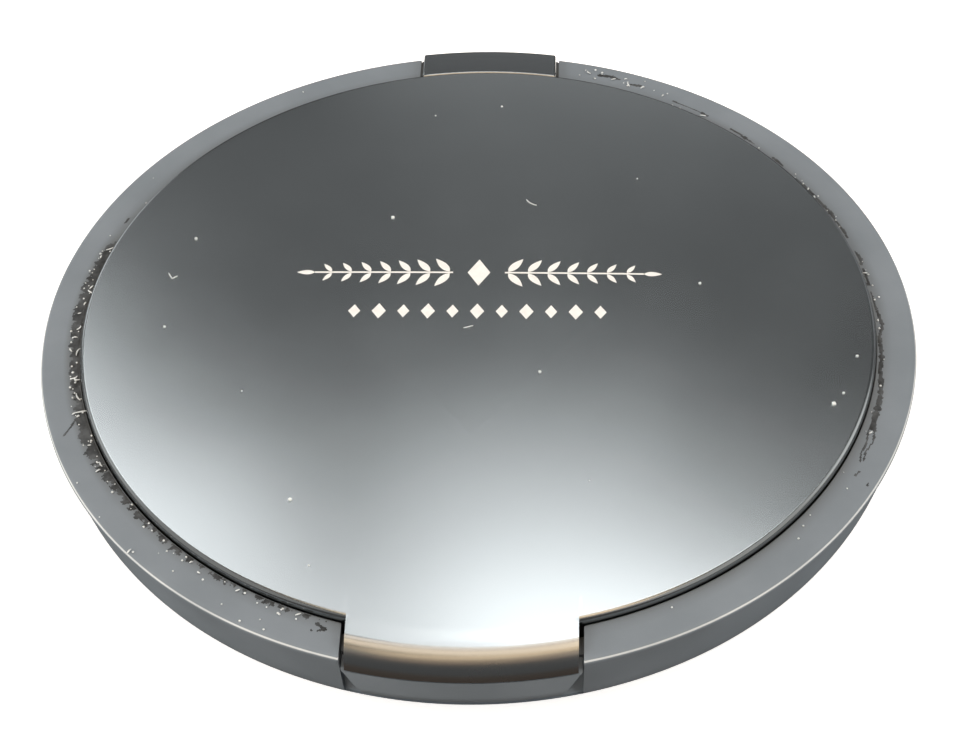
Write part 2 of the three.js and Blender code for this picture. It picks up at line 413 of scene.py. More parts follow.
def soft_touch():
    """Soft-touch coating: rubbed beside the lid, darker on the rim's left with grime and painted shade, and
    with a painted highlight on its outer edge.
    """
    m = Nodes("soft_touch_grey").set(Roughness=0.6, Specular_IOR_Level=0.35)
    patches = m.noise(140, detail=6)
    fine = m.noise(2600, detail=3)
    from_axis = m.from_axis()
    colour = m.mix(m.range(patches, 0.35, 0.65), (0.177, 0.212, 0.249), (0.205, 0.243, 0.285))
    beside_lid = m.range(from_axis, 34.6 * MM, 35.9 * MM, 1, 0)
    rubbed = m.times(beside_lid, m.range(patches, 0.2, 0.6), 0.6)
    colour = m.mix(rubbed, colour, (0.118, 0.132, 0.144))
    # Painted shade and grime: the rim is darker on its left beside the lid.
    colour = m.mix(m.times(left_grime_and_shade(m, from_axis), 0.6), colour, (0.09, 0.096, 0.098))
    # Painted highlight: a pale line on the rim's rounded outer edge.
    colour = m.mix(painted_edge_highlight(m, from_axis, patches), colour, (0.64, 0.69, 0.73))
    rough = m.range(patches, 0.3, 0.7, 0.5, 0.66)
    normal = m.bump(fine, 0.25, 0.00002)
    normal = m.bump(patches, 0.12, 0.00008, normal)
    m.to(Base_Color=colour, Roughness=rough, Normal=normal)
    return m.material


def satin(name, colour, rough):
    """A metallised satin lacquer, a little rougher where the tongue bends down."""
    m = Nodes(name).set(Metallic=1.0, Roughness=rough)
    cloud = m.noise(60, detail=5)
    dark = tuple(c * 0.97 for c in colour)
    light = tuple(c * 1.01 for c in colour)
    cloudy = m.range(cloud, 0.3, 0.7, rough * 0.95, rough * 1.05)
    at_the_bend = m.range(m.along(1), -35.4 * MM, -36.2 * MM, 0, 0.07)
    tint = m.mix(m.range(cloud, 0.3, 0.7), dark, light)
    m.to(Base_Color=tint, Roughness=m.math("ADD", cloudy, at_the_bend))
    return m.material


def gloss_plastic(name, dark, light, rough_low, rough_high):
    m = Nodes(name).set(Roughness=0.3)
    cloud = m.noise(120, detail=5)
    fine = m.noise(3000, detail=2)
    colour = m.mix(m.range(cloud, 0.3, 0.7), dark, light)
    rough = m.range(cloud, 0.3, 0.7, rough_low, rough_high)
    m.to(Base_Color=colour, Roughness=rough, Normal=m.bump(fine, 0.06, 0.00001))
    return m.material


def brushed(name, colour, rough):
    m = Nodes(name).set(Metallic=1.0, Roughness=rough)
    streaks = m.noise(900, detail=3, vector=m.stretch(1, 1, 8))
    tint = m.mix(m.range(streaks, 0.3, 0.7), tuple(c * 0.9 for c in colour), colour)
    m.to(Base_Color=tint, Roughness=m.range(streaks, 0.3, 0.7, rough * 0.8, rough * 1.2))
    return m.material


def mirror_glass():
    m = Nodes("mirror_silver").set(Metallic=1.0, Roughness=0.02, Coat_Weight=0.6, Coat_Roughness=0.01)
    haze = m.noise(35, detail=6)
    colour = m.mix(m.range(haze, 0.4, 0.7), (0.86, 0.89, 0.89), (0.9, 0.92, 0.92))
    m.to(Base_Color=colour, Roughness=m.range(haze, 0.35, 0.75, 0.015, 0.05))
    return m.material


def powder():
    m = Nodes("pressed_powder").set(Roughness=0.62, Sheen_Weight=0.25, Sheen_Roughness=0.4)
    grain = m.noise(4200, detail=4)
    cloud = m.noise(160, detail=5)
    glint = m.cells(5200)
    colour = m.mix(m.range(cloud, 0.3, 0.7), (0.72, 0.47, 0.35), (0.83, 0.6, 0.47))
    sparkle = m.range(glint, 0.12, 0.02)
    colour = m.mix(sparkle, colour, (1.0, 0.9, 0.8))
    rough = m.range(sparkle, 0.0, 1.0, 0.62, 0.25)
    metal = m.range(sparkle, 0.0, 1.0, 0.04, 0.6)
    m.to(Base_Color=colour, Roughness=rough, Metallic=metal, Normal=m.bump(grain, 0.35, 0.00003))
    return m.material


def paper_label():
    m = Nodes("blank_paper").set(Roughness=0.75)
    fibre = m.noise(2200, detail=6, vector=m.stretch(1, 3, 1))
    colour = m.mix(m.range(fibre, 0.3, 0.7), (0.76, 0.75, 0.72), (0.84, 0.83, 0.8))
    m.to(Base_Color=colour, Normal=m.bump(fibre, 0.2, 0.00002))
    return m.material


def foam_tape():
    m = Nodes("foam_tape").set(Roughness=0.85)
    cells = m.cells(2600)
    colour = m.mix(m.range(cells, 0.1, 0.5), (0.7, 0.68, 0.62), (0.8, 0.78, 0.73))
    m.to(Base_Color=colour, Normal=m.bump(cells, 0.3, 0.00004))
    return m.material


def chips(name, dark, light, rough):
    m = Nodes(name).set(Roughness=rough)
    cloud = m.noise(900, detail=4)
    colour = m.mix(m.range(cloud, 0.35, 0.65), dark, light)
    m.to(Base_Color=colour, Normal=m.bump(cloud, 0.6, 0.00008))
    return m.material


def white_ink():
    m = Nodes("white_ink").set(Roughness=0.45)
    cloud = m.noise(1500, detail=4)
    colour = m.mix(m.range(cloud, 0.3, 0.7), (0.77, 0.79, 0.8), (0.87, 0.89, 0.9))
    m.to(Base_Color=colour, Roughness=m.range(cloud, 0.3, 0.7, 0.4, 0.55))
    return m.material


def dress(piece, body, slot, material, *nodes):
    """Gives a piece its material and body, and hides the CAD nodes that it stands for. The record slot is
    not used.
    """
    piece.data.materials.clear()
    piece.data.materials.append(material)
    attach(piece, body)
    if nodes:
        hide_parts(*nodes)


# ---- base

def wall_radius(height):
    return RIM_R - (RIM_TOP - height) * WALL_DRAFT


def shell_profiles():
    """Profiles of the base: plain, at the front slot and at the rear slot."""
    under = [(0, LABEL_HIGH), (8, LABEL_HIGH), (17, LABEL_HIGH), (25.7, LABEL_HIGH)]
    under += arc(25.7, LABEL_HIGH - 0.2, 0.2, 90, 0, 3)[1:]
    under += arc(26.3, 0.2, 0.2, 210, 270, 2) + [(28.8, 0), (FOOT_R - 0.3, 0)]
    under += curve((FOOT_R, 0), (33.6, 1.05), (35.0, 2.0), 6)
    under += curve((35.0, 2.0), (36.0, 2.75), (36.4, RECESS_LOW), 5)[1:]
    wall_low = curve((36.4, RECESS_LOW), (36.72, 3.95), (wall_radius(WALL_FOOT), WALL_FOOT), 5)
    fillet = 0.32
    inner_fillet = 0.07
    wall = wall_low + [
        (wall_radius(REAR_SLOT_FLOOR), REAR_SLOT_FLOOR),
        (wall_radius(6.6), 6.6),
        (wall_radius(FRONT_SLOT_FLOOR), FRONT_SLOT_FLOOR),
        (wall_radius(8.6), 8.6),
    ]
    rim = arc(RIM_R - fillet, RIM_TOP - fillet, fillet, -12, 90, 6)
    rim += line((RIM_R - fillet - 0.12, RIM_TOP), (RIM_INNER + 0.12, RIM_TOP), 8)
    rim += arc(RIM_INNER + inner_fillet, RIM_TOP - inner_fillet, inner_fillet, 90, 180, 3)
    inner = [(RIM_INNER, FRONT_SLOT_FLOOR), (RIM_INNER, REAR_SLOT_FLOOR)]
    inside = [(RIM_INNER, 5.2), (33.4, 5.2), (33.4, 4), (31.2, SHELL_FLOOR), (0, SHELL_FLOOR)]
    split = wall.index((wall_radius(REAR_SLOT_FLOOR), REAR_SLOT_FLOOR))
    front_notch = [(RECESS_R, RECESS_LOW + 0.01), (RECESS_R, FRONT_SLOT_FLOOR)]
    plain = under + wall[1:] + rim + inner + inside
    front = under + front_notch + inner + inside
    rear = under + wall[1:split + 1] + inner[1:] + inside
    front_outer = [under[-1]] + wall[1:] + rim + inner[:1]
    front_inner = [under[-1]] + front_notch + inner[:1]
    rear_outer = wall[split:] + rim + inner
    rear_inner = [wall[split], inner[1]]
    return {
        "profiles": {"plain": plain, "front": front, "rear": rear},
        "front_wall": (front_outer, front_inner),
        "rear_wall": (rear_outer, rear_inner),
    }


SIDE_STEPS = 300
FRONT_STEPS = 28
REAR_STEPS = 20


def base_shell():
    shapes = shell_profiles()
    body = Sectors(turn_in=28)
    body.add_slot(FRONT_SLOT_HALF, FRONT_STEPS, "front")
    body.add_side(FRONT_SLOT_HALF, REAR_SLOT_HALF, SIDE_STEPS, "plain")
    body.add_slot(REAR_SLOT_HALF, REAR_STEPS, "rear", rear=True)
    body.add_side(FRONT_SLOT_HALF, REAR_SLOT_HALF, SIDE_STEPS, "plain", left=True)
    body.skin(shapes["profiles"])
    rear_start = FRONT_STEPS + SIDE_STEPS
    edges = []
    for column in (0, FRONT_STEPS):
        edges += body.slot_wall(column, *shapes["front_wall"])
    for column in (rear_start, rear_start + REAR_STEPS):
        edges += body.slot_wall(column, *shapes["rear_wall"])
    bevel(body.bm, edges, 0.16, 3, clamp=True)
    return finish_mesh("soft_touch_shell", body.bm)


def thumb_ledge():
    """Faceted ledge under the tongue: an upright face with mitred ends, bevelled back below."""
    bm = bmesh.new()
    steps = 24
    back_y = -35.2
    back_dip = 0.08
    # Height, half width and radius of each row, from the top down
    rows = [
        (FRONT_SLOT_FLOOR, 9.3, RIM_R - 0.02),
        (6.35, 8.2, RIM_R - 0.02),
        (5.6, 7.8, RIM_R - 0.2),
        (3.9, 7.0, 36.55),
        (3.7, 6.9, 35.7),
    ]
    loops = []
    for height, half, radius in rows:
        xs = [half * (2 * i / steps - 1) for i in range(steps + 1)]
        places = [(x, -math.sqrt(radius ** 2 - x ** 2), height) for x in xs]
        places += [(x, back_y, height - back_dip) for x in (half, -half)]
        loops.append([bm.verts.new(place) for place in places])
    loft(bm, loops)
    ends = []
    for upper, lower in zip(loops, loops[1:4]):
        ends += [bm.edges.get((upper[i], lower[i])) for i in (0, steps)]
    bevel(bm, ends, 0.07, 2)
    return finish_mesh("thumb_ledge", bm, sharp=25)


def base_tray():
    well = PAN_R + 0.4
    floor = PAN_LOW - 0.2
    profile = [(3, TRAY_LOW), (30.2, TRAY_LOW), (30.4, TRAY_LOW + 0.2), (30.4, 5.2), (TRAY_R, 5.2)]
    profile += arc(TRAY_R - 0.25, TRAY_TOP - 0.25, 0.25, 0, 90, 4)
    profile += [(33.2, TRAY_TOP), (33.05, TRAY_TOP - 0.12), (32.55, TRAY_TOP - 0.12), (32.4, TRAY_TOP)]
    profile += arc(well + 0.3, TRAY_TOP - 0.3, 0.3, 90, 180, 5)
    profile += [(well, floor + 0.3), (well - 0.3, floor), (3, floor), (3, TRAY_LOW)]
    return turned_piece("tray_insert", profile)


def powder_pan():
    sheet = 0.5
    floor = PAN_LOW + sheet
    lip = sheet / 2
    profile = [(0, PAN_LOW), (PAN_R - 0.6, PAN_LOW)]
    profile += arc(PAN_R - 0.5, PAN_LOW + 0.5, 0.5, -90, 0, 4)
    profile += arc(PAN_R - lip, PAN_TOP - lip, lip, 0, 180, 8)
    profile += [(PAN_R - sheet, floor), (0, floor)]
    return turned_piece("aluminium_pan", profile)


def cake_relief(angle, radius, height):
    """Pressed sunburst that fades out towards the middle and the edge, with one shallow dab."""
    if height < CAKE_TOP - 0.5:
        return 0.0
    rays = 24
    twist = 0.28
    waves = math.cos(rays * angle + twist * radius) + 0.5 * math.cos(rays * angle - twist * radius)
    fade_out = min(1.0, max(0.0, (CAKE_R - 1.5 - radius) / 1.5))
    fade_in = min(1.0, max(0.0, (radius - 4) / 4))
    dab_x, dab_y, dab_area = 6, 4, 60
    place = around(angle, radius, 0)
    dab = math.exp(-((place.x - dab_x) ** 2 + (place.y - dab_y) ** 2) / dab_area)
    return -0.1 + 0.07 * waves * fade_in * fade_out * (1 - 0.8 * dab) - 0.22 * dab


def powder_cake():
    profile = [(0, CAKE_LOW), (CAKE_R, CAKE_LOW), (CAKE_R, CAKE_TOP - 0.6)]
    profile += arc(CAKE_R - 0.35, CAKE_TOP - 0.45, 0.35, 0, 90, 4)[1:]
    profile += line((CAKE_R - 0.6, CAKE_TOP - 0.08), (0, CAKE_TOP - 0.05), 64)
    return turned_piece("pressed_powder_cake", profile, columns=480, lift=cake_relief, sharp=60)


def hinge_pin():
    bm = bmesh.new()
    chamfer = 0.12
    rising = [(0, -PIN_END), (PIN_R - chamfer, -PIN_END), (PIN_R, chamfer - PIN_END)]
    turn(bm, rising + [(radius, -height) for radius, height in reversed(rising)], columns=48)
    bmesh.ops.rotate(bm, cent=Vector(), matrix=Matrix.Rotation(math.pi / 2, 3, "Y"), verts=bm.verts)
    bmesh.ops.translate(bm, vec=Vector((0, HINGE_Y, HINGE_Z)), verts=bm.verts)
    return finish_mesh("steel_hinge_pin", bm)


def hinge_cheeks():
    """Thin cheeks on both sides of the knuckle, each with a lower shim against the slot's wall."""
    bm = bmesh.new()
    low = REAR_SLOT_FLOOR - 0.1
    front = 34.9
    set_back = 0.15
    cheek = (BLOCK_HALF + 0.03, REAR_SLOT_HALF - 0.1, CHEEK_TOP)
    shim = (REAR_SLOT_HALF - 0.12, REAR_SLOT_HALF + 0.06, CHEEK_TOP - 0.07)
    for side in (-1, 1):
        for near, far, top in (cheek, shim):
            rear_high = math.sqrt(wall_radius(top) ** 2 - far ** 2) - set_back
            rear_low = math.sqrt(wall_radius(low) ** 2 - far ** 2) - set_back
            profile = [(front, low), (rear_low, low), (rear_high, top), (front, top)]
            loops = [[bm.verts.new((side * x, y, z)) for y, z in profile] for x in (near, far)]
            bevel(bm, edges_of(loft(bm, loops)), 0.05, 2)
    return finish_mesh("hinge_cheeks", bm)


def base_label():
    profile = [(0, LABEL_LOW), (LABEL_R - 0.05, LABEL_LOW), (LABEL_R, LABEL_LOW + 0.05),
               (LABEL_R, LABEL_HIGH), (0, LABEL_HIGH)]
    return turned_piece("blank_label", profile, columns=192)


# ---- lid

def crown_height(radius):
    inner = DISC_R - EDGE_FILLET
    return EDGE_TOP + (DISC_TOP - EDGE_TOP) * (1 - (radius / inner) ** 2)


def on_crown(x, y, above):
    return Vector((x, y, crown_height(math.hypot(x, y)) + above))


def plate_profiles():
    inner = DISC_R - EDGE_FILLET
    steps = 16
    radii = [inner * (1 - step / steps) for step in range(1, steps + 1)]
    crown = [(radius, crown_height(radius)) for radius in radii]
    under = [(radius, PLATE_LOW) for radius in (0, 12, 24, DISC_R - 0.45)]
    edge = [(DISC_R - 0.04, PLATE_LOW + 0.5)]
    edge += arc(inner, EDGE_TOP - EDGE_FILLET, EDGE_FILLET, 0, 90, 12)
    bend_r = TONGUE_R - TONGUE_BEND
    bend_z = EDGE_TOP - 0.05 - TONGUE_BEND
    inside = TONGUE_BEND - TONGUE_SHEET
    stop = math.degrees(math.asin((TONGUE_LOW - bend_z) / inside))
    start = math.degrees(math.asin((TONGUE_LOW + 0.12 - bend_z) / TONGUE_BEND))
    tongue = [edge[0]] + arc(bend_r, bend_z, inside, 90, stop, 8)
    tongue += [(TONGUE_R - 0.3, TONGUE_LOW), (TONGUE_R - 0.16, TONGUE_LOW + 0.02)]
    tongue += arc(bend_r, bend_z, TONGUE_BEND, start, 90, 24)
    tongue += line((bend_r - 0.4, EDGE_TOP - 0.04), (inner + 0.3, EDGE_TOP - 0.005), 3)
    return {
        "profiles": {"disc": under + edge + crown, "tongue": under + tongue + edge[-1:] + crown},
        "tongue_wall": (tongue + edge[-1:], edge),
    }


def lid_plate():
    shapes = plate_profiles()
    body = Sectors(turn_in=31)
    front_steps = 28
    body.add_slot(TONGUE_HALF, front_steps, "tongue")
    body.add_side(TONGUE_HALF, 0.6, SIDE_STEPS, "disc")
    body.add_side(TONGUE_HALF, 0.6, SIDE_STEPS, "disc", left=True)
    body.skin(shapes["profiles"])
    edges = []
    for column in (0, front_steps):
        edges += body.slot_wall(column, *shapes["tongue_wall"])
    bevel(body.bm, edges, 0.2, 4, clamp=True)
    return finish_mesh("satin_lid_plate", body.bm)


def hinge_knuckle():
    """The lid's knuckle: arcs front and back in plan, round below, with a neck into the lid body.

    Each point of its side outline has a height, and lies at a fixed y or at a radius r from the
    lid's axis.
    """
    bm = bmesh.new()
    steps = 16
    floor_r = HINGE_Z - TRAY_TOP
    neck_y = HINGE_Y - 4.5
    rear = 0.3
    front = 0.28
    outline = [("y", neck_y, TRAY_TOP + 0.1)]
    outline += [("y", y, z) for y, z in arc(HINGE_Y, HINGE_Z, floor_r, -90, -8, 8)]
    outline += [("r", r, z) for r, z in arc(BLOCK_REAR - rear, BLOCK_TOP - rear, rear, 0, 90, 4)]
    outline += [("r", r, z) for r, z in arc(BLOCK_FRONT + front, BLOCK_TOP - front, front, 90, 180, 6)]
    outline += [("r", BLOCK_FRONT, PLATE_LOW), ("y", neck_y, PLATE_LOW)]
    columns = []
    for i in range(steps + 1):
        x = BLOCK_HALF * (2 * i / steps - 1)
        limit = math.sqrt(BLOCK_REAR ** 2 - x ** 2)
        column = []
        for kind, value, z in outline:
            y = math.sqrt(value ** 2 - x ** 2) if kind == "r" else min(value, limit - 0.04)
            column.append(bm.verts.new((x, y, z)))
        columns.append(column)
    ends = loft(bm, columns)[-2:]
    bevel(bm, edges_of(ends), 0.15, 3, clamp=True)
    return finish_mesh("hinge_knuckle", bm)


def lid_body():
    bm = bmesh.new()
    low = TRAY_TOP + 0.1
    pocket = MIRROR_R + 0.2
    profile = [(0, POCKET_TOP), (pocket, POCKET_TOP)]
    profile += arc(pocket + 0.25, low + 0.25, 0.25, 180, 270, 4)
    profile += [(31.4, low), (31.5, low + 0.08), (31.9, low + 0.08), (32.0, low)]
    profile += arc(CARRIER_R - 0.3, low + 0.3, 0.3, -90, 0, 4)
    profile += [(CARRIER_R, PLATE_LOW), (0, PLATE_LOW)]
    turn(bm, profile)
    y_back = -32
    backing = (8, -35.6, FRONT_SLOT_FLOOR + 0.25)
    catch_nib = (3, -36, 7.4)
    for x_half, y_front, z_low in (backing, catch_nib):
        bar = bmesh.ops.create_cube(bm, size=1)["verts"]
        bmesh.ops.scale(bm, vec=(2 * x_half, y_back - y_front, PLATE_LOW - z_low), verts=bar)
        bmesh.ops.translate(bm, vec=(0, (y_front + y_back) / 2, (PLATE_LOW + z_low) / 2), verts=bar)
        bevel(bm, list({edge for vert in bar for edge in vert.link_edges}), 0.15, 2)
    return finish_mesh("lid_carrier", bm)


def mirror():
    profile = [(0, MIRROR_LOW), (MIRROR_R - 0.6, MIRROR_LOW), (MIRROR_R, MIRROR_LOW + 0.3),
               (MIRROR_R, MIRROR_TOP), (0, MIRROR_TOP)]
    return turned_piece("round_mirror", profile, columns=320)


# ---- wear on the rim

CELL = 0.1
RIM_MIDDLE = 35.5
CELL_TURN = CELL / RIM_MIDDLE

# Worn stretches along the rim's inner edge: azimuth, how far the wear reaches out, its density
WORN_EDGE = (
    (-109, 0.3, 0.0), (-106, 1.0, 0.75), (-97, 1.15, 0.95), (-89, 1.1, 0.95), (-83, 0.9, 0.9),
    (-74, 0.9, 0.85), (-66, 1.2, 0.9), (-60, 1.1, 0.8), (-55, 0.85, 0.6), (-45, 0.85, 0.5),
    (-33, 0.7, 0.48), (-24, 0.7, 0.35), (-18, 0.6, 0.1), (-16, 0.4, 0.0),
)
# Torn lines: azimuth, radius and half width along each
TEARS = (
    ((-70.5, 35.5, 0.1), (-69, 36.3, 0.08), (-68, 36.9, 0.04)),
    ((-18.6, 35.3, 0.14), (-17.4, 35.6, 0.12), (-18.2, 35.9, 0.06)),
    ((-19.0, 36.0, 0.07), (-18.8, 36.05, 0.07)),
    ((-12.5, 35.0, 0.09), (-11.8, 35.1, 0.07)),
    ((-112.6, 35.3, 0.06), (-111.6, 35.32, 0.09)),
    ((106, 34.95, 0.1), (104, 35.1, 0.15), (103, 34.95, 0.1)),
    ((102, 34.9, 0.1), (100, 34.9, 0.15), (98.6, 34.85, 0.1)),
    ((97, 34.85, 0.08), (93.9, 34.9, 0.11), (92, 35.05, 0.12), (90.2, 35.23, 0.16), (88.8, 35.0, 0.14),
     (87.6, 34.85, 0.15), (83.8, 35.02, 0.18), (81.2, 34.97, 0.18), (77.7, 35.25, 0.2),
     (74.8, 35.34, 0.23), (71.8, 35.35, 0.23), (69.8, 35.5, 0.17)),
    ((71, 35.3, 0.12), (69, 35.25, 0.08), (67, 35.5, 0.08), (65, 35.45, 0.07), (63.5, 35.75, 0.08)),
    ((70, 35.7, 0.1), (67.5, 35.95, 0.07), (65.5, 35.75, 0.07), (63.8, 35.95, 0.06)),
    ((61.8, 36.1, 0.08), (61, 36.0, 0.07)),
    ((60.6, 37.25, 0.08), (60.2, 37.3, 0.07)),
    ((163, 36.5, 0.16), (161, 36.65, 0.2), (159.5, 36.5, 0.08)),
    ((157.5, 36.2, 0.12), (156, 36.35, 0.1)),
    ((150, 35.7, 0.05), (146, 35.65, 0.05), (144.5, 35.65, 0.13), (143.5, 35.6, 0.05)),
    ((139, 35.4, 0.05), (137.5, 35.4, 0.13), (136, 35.3, 0.13), (134, 35.25, 0.05)),
    ((130, 35.15, 0.06), (128.5, 35.15, 0.15), (127.5, 35.05, 0.12)),
    ((124, 34.95, 0.05), (121, 34.95, 0.16), (119, 34.95, 0.1), (116.5, 35.0, 0.2),
     (115, 35.1, 0.18), (113, 34.95, 0.08), (110.5, 35.05, 0.14), (109, 35.0, 0.06)),
)


def between(points, place):
    """The other values of a short list of points, read off at one place along it."""
    for near, far in zip(points, points[1:]):
        if near[0] <= place <= far[0]:
            share = (place - near[0]) / (far[0] - near[0])
            return [a + (b - a) * share for a, b in zip(near[1:], far[1:])]
    return [0.0] * (len(points[0]) - 1)


def roughness(arc_mm, radius, size):
    """Seedless noise from about -1 to 1 in the rim's own coordinates."""
    return noise.noise(Vector((arc_mm / size, radius / size, 3.7)))


def edge_is_worn(arc_mm, radius):
    reach, density = between(WORN_EDGE, math.degrees(arc_mm / RIM_MIDDLE))
    if density <= 0:
        return False
    out = (radius - RIM_INNER) / reach
    teeth = roughness(arc_mm, radius * 0.45, size=0.42)
    crumbs = roughness(arc_mm, radius, size=0.2)
    return density + 0.75 * teeth + 0.45 * crumbs > 0.35 + 0.75 * out ** 3


def worn_edge_cells():
    cells = set()
    first = round(math.radians(WORN_EDGE[0][0]) / CELL_TURN)
    last = round(math.radians(WORN_EDGE[-1][0]) / CELL_TURN)
    for i in range(first, last):
        for j in range(1, 16):
            if edge_is_worn((i + 0.5) * CELL, RIM_INNER + (j + 0.5) * CELL):
                cells.add((i, j))
    return cells


def tear_cells(tear):
    """Grid cells within a ragged distance of one torn line."""
    cells = set()
    points = [Vector((math.radians(degrees) * RIM_MIDDLE, radius, half)) for degrees, radius, half in tear]
    for start, end in zip(points, points[1:]):
        steps = max(2, round((end.xy - start.xy).length / (CELL / 2)))
        for step in range(steps + 1):
            middle = start.lerp(end, step / steps)
            half = middle.z * (1 + 0.7 * roughness(middle.x, middle.y, 0.35))
            reach = math.ceil(half / CELL)
            i_middle = math.floor(middle.x / CELL)
            j_middle = math.floor((middle.y - RIM_INNER) / CELL)
            for i in range(i_middle - reach, i_middle + reach + 1):
                for j in range(max(1, j_middle - reach), j_middle + reach + 1):
                    centre = Vector(((i + 0.5) * CELL, RIM_INNER + (j + 0.5) * CELL))
                    if (centre - middle.xy).length <= max(half, CELL * 0.6):
                        cells.add((i, j))
    return cells


def close_corner_contacts(cells):
    """Fills cells that touch only at a corner, so that the layer stays a clean closed solid."""
    changed = True
    while changed:
        changed = False
        for i, j in list(cells):
            for side in (-1, 1):
                beside = (i, j + side) in cells
                if (i + 1, j + side) in cells and not beside and (i + 1, j) not in cells:
                    cells.add((i + 1, j))
                    changed = True


def crust(cells, thickness, name):
    """A thin ragged layer on the rim's top, over the given grid cells."""
    close_corner_contacts(cells)
    sunk = 0.13
    feathered = 0.004
    bm = bmesh.new()
    corners = {}

    def corner(i, j, is_top):
        key = (i, j, is_top)
        if key not in corners:
            arc_mm = i * CELL
            radius = RIM_INNER + j * CELL
            around_it = sum((i - a, j - b) in cells for a in (0, 1) for b in (0, 1))
            height = RIM_TOP - sunk
            if is_top:
                swell = max(0.0, 0.5 + roughness(arc_mm, radius, 0.28))
                height = RIM_TOP + (thickness * (0.3 + swell) if around_it == 4 else feathered)
            arc_mm += 0.4 * CELL * roughness(arc_mm, radius, 0.13)
            radius += 0.4 * CELL * roughness(radius, arc_mm, 0.13)
            corners[key] = bm.verts.new(around(arc_mm / RIM_MIDDLE, radius, height))
        return corners[key]

    for i, j in sorted(cells):
        square = ((i, j), (i + 1, j), (i + 1, j + 1), (i, j + 1))
        bm.faces.new([corner(*c, True) for c in square])
        bm.faces.new([corner(*c, False) for c in reversed(square)])
        neighbours = ((i, j - 1), (i + 1, j), (i, j + 1), (i - 1, j))
        for k, neighbour in enumerate(neighbours):
            if neighbour not in cells:
                near, far = square[k], square[(k + 1) % 4]
                bm.faces.new((corner(*near, True), corner(*near, False),
                              corner(*far, False), corner(*far, True)))
    return finish_mesh(name, bm, sharp=50)


def torn_coating():
    cells = worn_edge_cells()
    for tear in TEARS:
        cells |= tear_cells(tear)
    return crust(cells, 0.05, "torn_rim_coating")


# ---- flakes and dust

def ribbon(bm, path, width, thickness):
    """A thin closed strip along a path, narrowing to both ends."""
    rings = []
    last = len(path) - 1
    for i, point in enumerate(path):
        along = path[min(i + 1, last)] - path[max(i - 1, 0)]
        side = Vector((-along.y, along.x, 0)).normalized()
        narrow = 0.35 + 0.65 * math.sin(math.pi * (i + 0.5) / (last + 1))
        half = side * width / 2 * narrow
        up = Vector((0, 0, thickness))
        left, right = point - half, point + half
        corners = (left, right, right + up, left + up)
        rings.append([bm.verts.new(corner) for corner in corners])
    loft(bm, rings)


def curl(bm, place, heading, length, bend, width=0.13, lift=0.06):
    """A peeled sliver lying on a surface: heading and bend in degrees."""
    steps = 8
    points = [place.copy()]
    for i in range(steps):
        direction = math.radians(heading + bend * (i / (steps - 1) - 0.5))
        points.append(points[-1] + Vector((math.cos(direction), math.sin(direction), 0)) * (length / steps))
    middle = (points[0] + points[-1]) / 2
    for i, point in enumerate(points):
        point.xy += place.xy - middle.xy
        point.z += lift * math.sin(math.pi * i / steps)
    ribbon(bm, points, width, 0.04)


def lump(bm, place, radius, seed):
    """A speck with an uneven surface, half sunk where it lies."""
    made = bmesh.ops.create_icosphere(bm, subdivisions=2, radius=radius)["verts"]
    for vert in made:
        uneven = 1 + 0.35 * noise.noise(vert.co / radius * 1.3 + Vector((seed, 0, 0)))
        vert.co = place + Vector((vert.co.x, vert.co.y, vert.co.z * 0.75)) * uneven


# Larger slivers of coating on the rim: azimuth, radius, heading, length, bend
SLIVERS = (
    (-105.5, 35.0, 30, 0.75, 60), (-103.5, 35.35, 80, 0.35, 0), (-97, 34.9, 60, 0.5, 30),
    (-96, 34.75, -35, 0.8, 50), (-93.5, 34.95, 70, 0.4, 0), (-91.5, 35.2, 20, 0.35, 90),
    (-88.5, 35.0, 60, 0.65, 110), (-86.5, 35.15, 0, 0.4, 0), (-83.5, 34.75, 75, 0.95, -40),
    (-84, 35.4, -60, 0.5, 60), (-78.5, 35.15, 30, 0.75, 110), (-78, 34.9, -10, 0.6, 60),
    (-74.5, 34.95, -60, 0.95, 50), (-71.5, 34.95, 15, 1.0, 10), (-71.5, 35.6, 40, 0.4, 40),
    (-61.5, 35.1, -20, 0.5, 200), (-60.8, 35.0, -60, 0.5, 80), (-60, 35.5, 40, 0.45, 30),
    (-65, 35.2, 10, 0.35, 120), (-45.6, 37.7, 60, 0.55, 0), (-38.5, 35.05, 20, 0.3, 40),
    (-36.5, 35.4, -40, 0.35, 120), (-30.5, 35.1, 30, 0.4, 60), (-21.5, 35.0, 25, 0.5, 40),
    (101, 34.9, 0, 0.45, 20), (164.5, 36.6, -50, 0.6, 120), (160.5, 36.3, 20, 0.5, 60),
    (157.8, 36.0, -70, 0.55, 40), (155.8, 36.1, 60, 0.4, 130), (158.7, 36.7, 10, 0.3, 0),
    (152, 35.9, 60, 0.35, 60), (144.2, 35.3, -12, 0.6, 30), (69, 35.45, 40, 0.4, 80),
)
# Stretches with scattered specks: azimuths, radii, how many, largest radius
SPECK_STRETCHES = (
    (-106, -58, 34.7, 35.7, 46, 0.12), (-58, -20, 34.7, 35.6, 22, 0.11), (-60, -20, 35.6, 37.6, 10, 0.1),
    (150, 166, 35.7, 37.2, 14, 0.12), (98, 150, 34.8, 35.3, 22, 0.1), (60, 98, 34.8, 35.4, 9, 0.1),
    (25, 60, 34.6, 37.5, 5, 0.1), (-170, -106, 34.9, 37.4, 4, 0.08),
)


def rim_flakes():
    bm = bmesh.new()
    for azimuth, radius, heading, length, bend in SLIVERS:
        place = around(math.radians(azimuth), radius, RIM_TOP + 0.05)
        curl(bm, place, heading, length, bend)
    return finish_mesh("coating_slivers", bm, sharp=50)


def rim_specks():
    bm = bmesh.new()
    draw = random.Random(41)
    for start, end, inner, outer, count, largest in SPECK_STRETCHES:
        for _ in range(count):
            azimuth = math.radians(draw.uniform(start, end))
            place = around(azimuth, draw.uniform(inner, outer), RIM_TOP + 0.06)
            lump(bm, place, draw.uniform(0.4, 1.0) * largest, draw.uniform(0, 50))
    return finish_mesh("rim_specks", bm, sharp=180)


